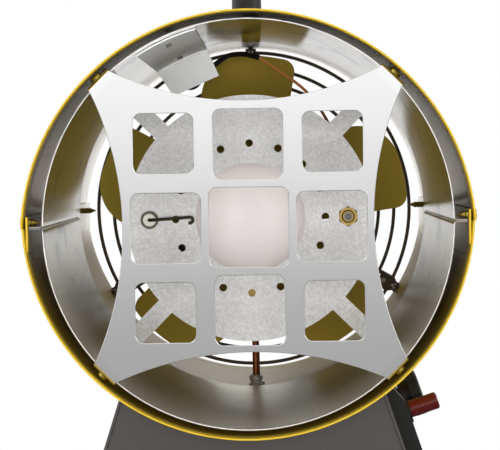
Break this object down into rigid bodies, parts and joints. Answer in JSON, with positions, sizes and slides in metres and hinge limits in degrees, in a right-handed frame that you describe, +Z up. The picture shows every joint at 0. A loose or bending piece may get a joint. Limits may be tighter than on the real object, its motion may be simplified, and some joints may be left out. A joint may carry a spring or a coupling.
{
  "type": "gas forced air heater",
  "caption": "Portable barrel-shaped gas heater on a flared stand: fan-driven air passes a burner plate and a windowed front deflector inside a lined casing.",
  "frame": {"origin": "on the floor under the middle of the barrel", "axes": "+Z up, -Y out of the hot air outlet, +X to the right seen from the front, where the controls are"},
  "size_m": [0.2358, 0.43, 0.3674],
  "materials": {
    "casing_yellow": "satin paint",
    "liner_bright": "bright rolled",
    "deflector_steel": "satin",
    "galvanised": "spangled zinc",
    "bowl_enamel": "smooth pale enamel",
    "ceramic": "glazed ceramic",
    "steel": "zinc plated",
    "dark_steel": "heat darkened",
    "yellow_zinc": "yellow passivated zinc",
    "brass": "machined",
    "copper": "drawn copper",
    "fan_olive": "satin paint",
    "guard_black": "black coating",
    "stand_grey": "satin paint",
    "black_plastic": "moulded",
    "red_plastic": "moulded",
    "rubber": "moulded",
    "motor_grey": "painted"
  },
  "bodies": {
    "heater": {"upper_casing": "casing_yellow", "lower_casing": "casing_yellow", "seam_screws": "yellow_zinc", "liner_upper": "liner_bright", "liner_lower": "liner_bright", "deflector_plate": "deflector_steel", "deflector_screws": "yellow_zinc", "burner_plate": "galvanised", "burner_screws": "steel", "burner_bowl": "bowl_enamel", "gas_injector": "brass", "electrode_ferrule": "dark_steel", "electrode_ceramic": "ceramic", "electrode_rod": "dark_steel", "thermocouple_nut": "brass", "thermocouple_probe": "steel", "thermostat_bracket": "galvanised", "bracket_screws": "steel", "thermostat_body": "black_plastic", "thermostat_lead": "black_plastic", "thermocouple_lead": "copper", "motor_body": "motor_grey", "motor_screws": "steel", "rear_guard": "guard_black", "guard_clips": "guard_black", "guard_screws": "steel", "base_shell": "stand_grey", "base_front_panel": "stand_grey", "base_rear_panel": "stand_grey", "panel_screws": "steel", "base_screws": "steel", "rubber_feet": "rubber", "control_box": "black_plastic", "gas_valve_body": "brass", "piezo_body": "black_plastic", "pipe_gland": "steel", "lead_grommet": "rubber", "gas_pipe": "copper", "supply_pipe": "copper", "gas_inlet": "brass", "ignition_lead": "black_plastic", "rocker_housing": "black_plastic", "cable_gland": "black_plastic", "carry_handle": "black_plastic", "handle_screws": "steel"},
    "fan": {"fan_blades": "fan_olive", "fan_hub": "steel", "fan_nut": "steel", "motor_shaft": "steel"},
    "spindle": {"valve_spindle": "steel"},
    "knob": {"gas_knob": "black_plastic"},
    "button": {"piezo_button": "red_plastic"},
    "rocker": {"rocker": "black_plastic"}
  },
  "joints": [
    {"name": "fan_spin", "type": "hinge", "parent": "heater", "child": "fan", "pos_m": [0, 0.11, 0.205], "axis": [0, 1, 0], "continuous": true},
    {"name": "valve_push", "type": "slide", "parent": "heater", "child": "spindle", "axis": [-0.9507, 0, -0.3102], "range_m": [0, 0.003], "stiffness_N_per_m": 900},
    {"name": "knob_turn", "type": "hinge", "parent": "spindle", "child": "knob", "pos_m": [0.07639, -0.068, 0.09814], "axis": [0.9507, 0, 0.3102], "range_deg": [0, 180]},
    {"name": "igniter_push", "type": "slide", "parent": "heater", "child": "button", "axis": [-0.9507, 0, -0.3102], "range_m": [0, 0.005], "stiffness_N_per_m": 800},
    {"name": "switch_rock", "type": "hinge", "parent": "heater", "child": "rocker", "pos_m": [-0.045, 0.143, 0.062], "axis": [-1, 0, 0], "range_deg": [0, 18]}
  ]
}
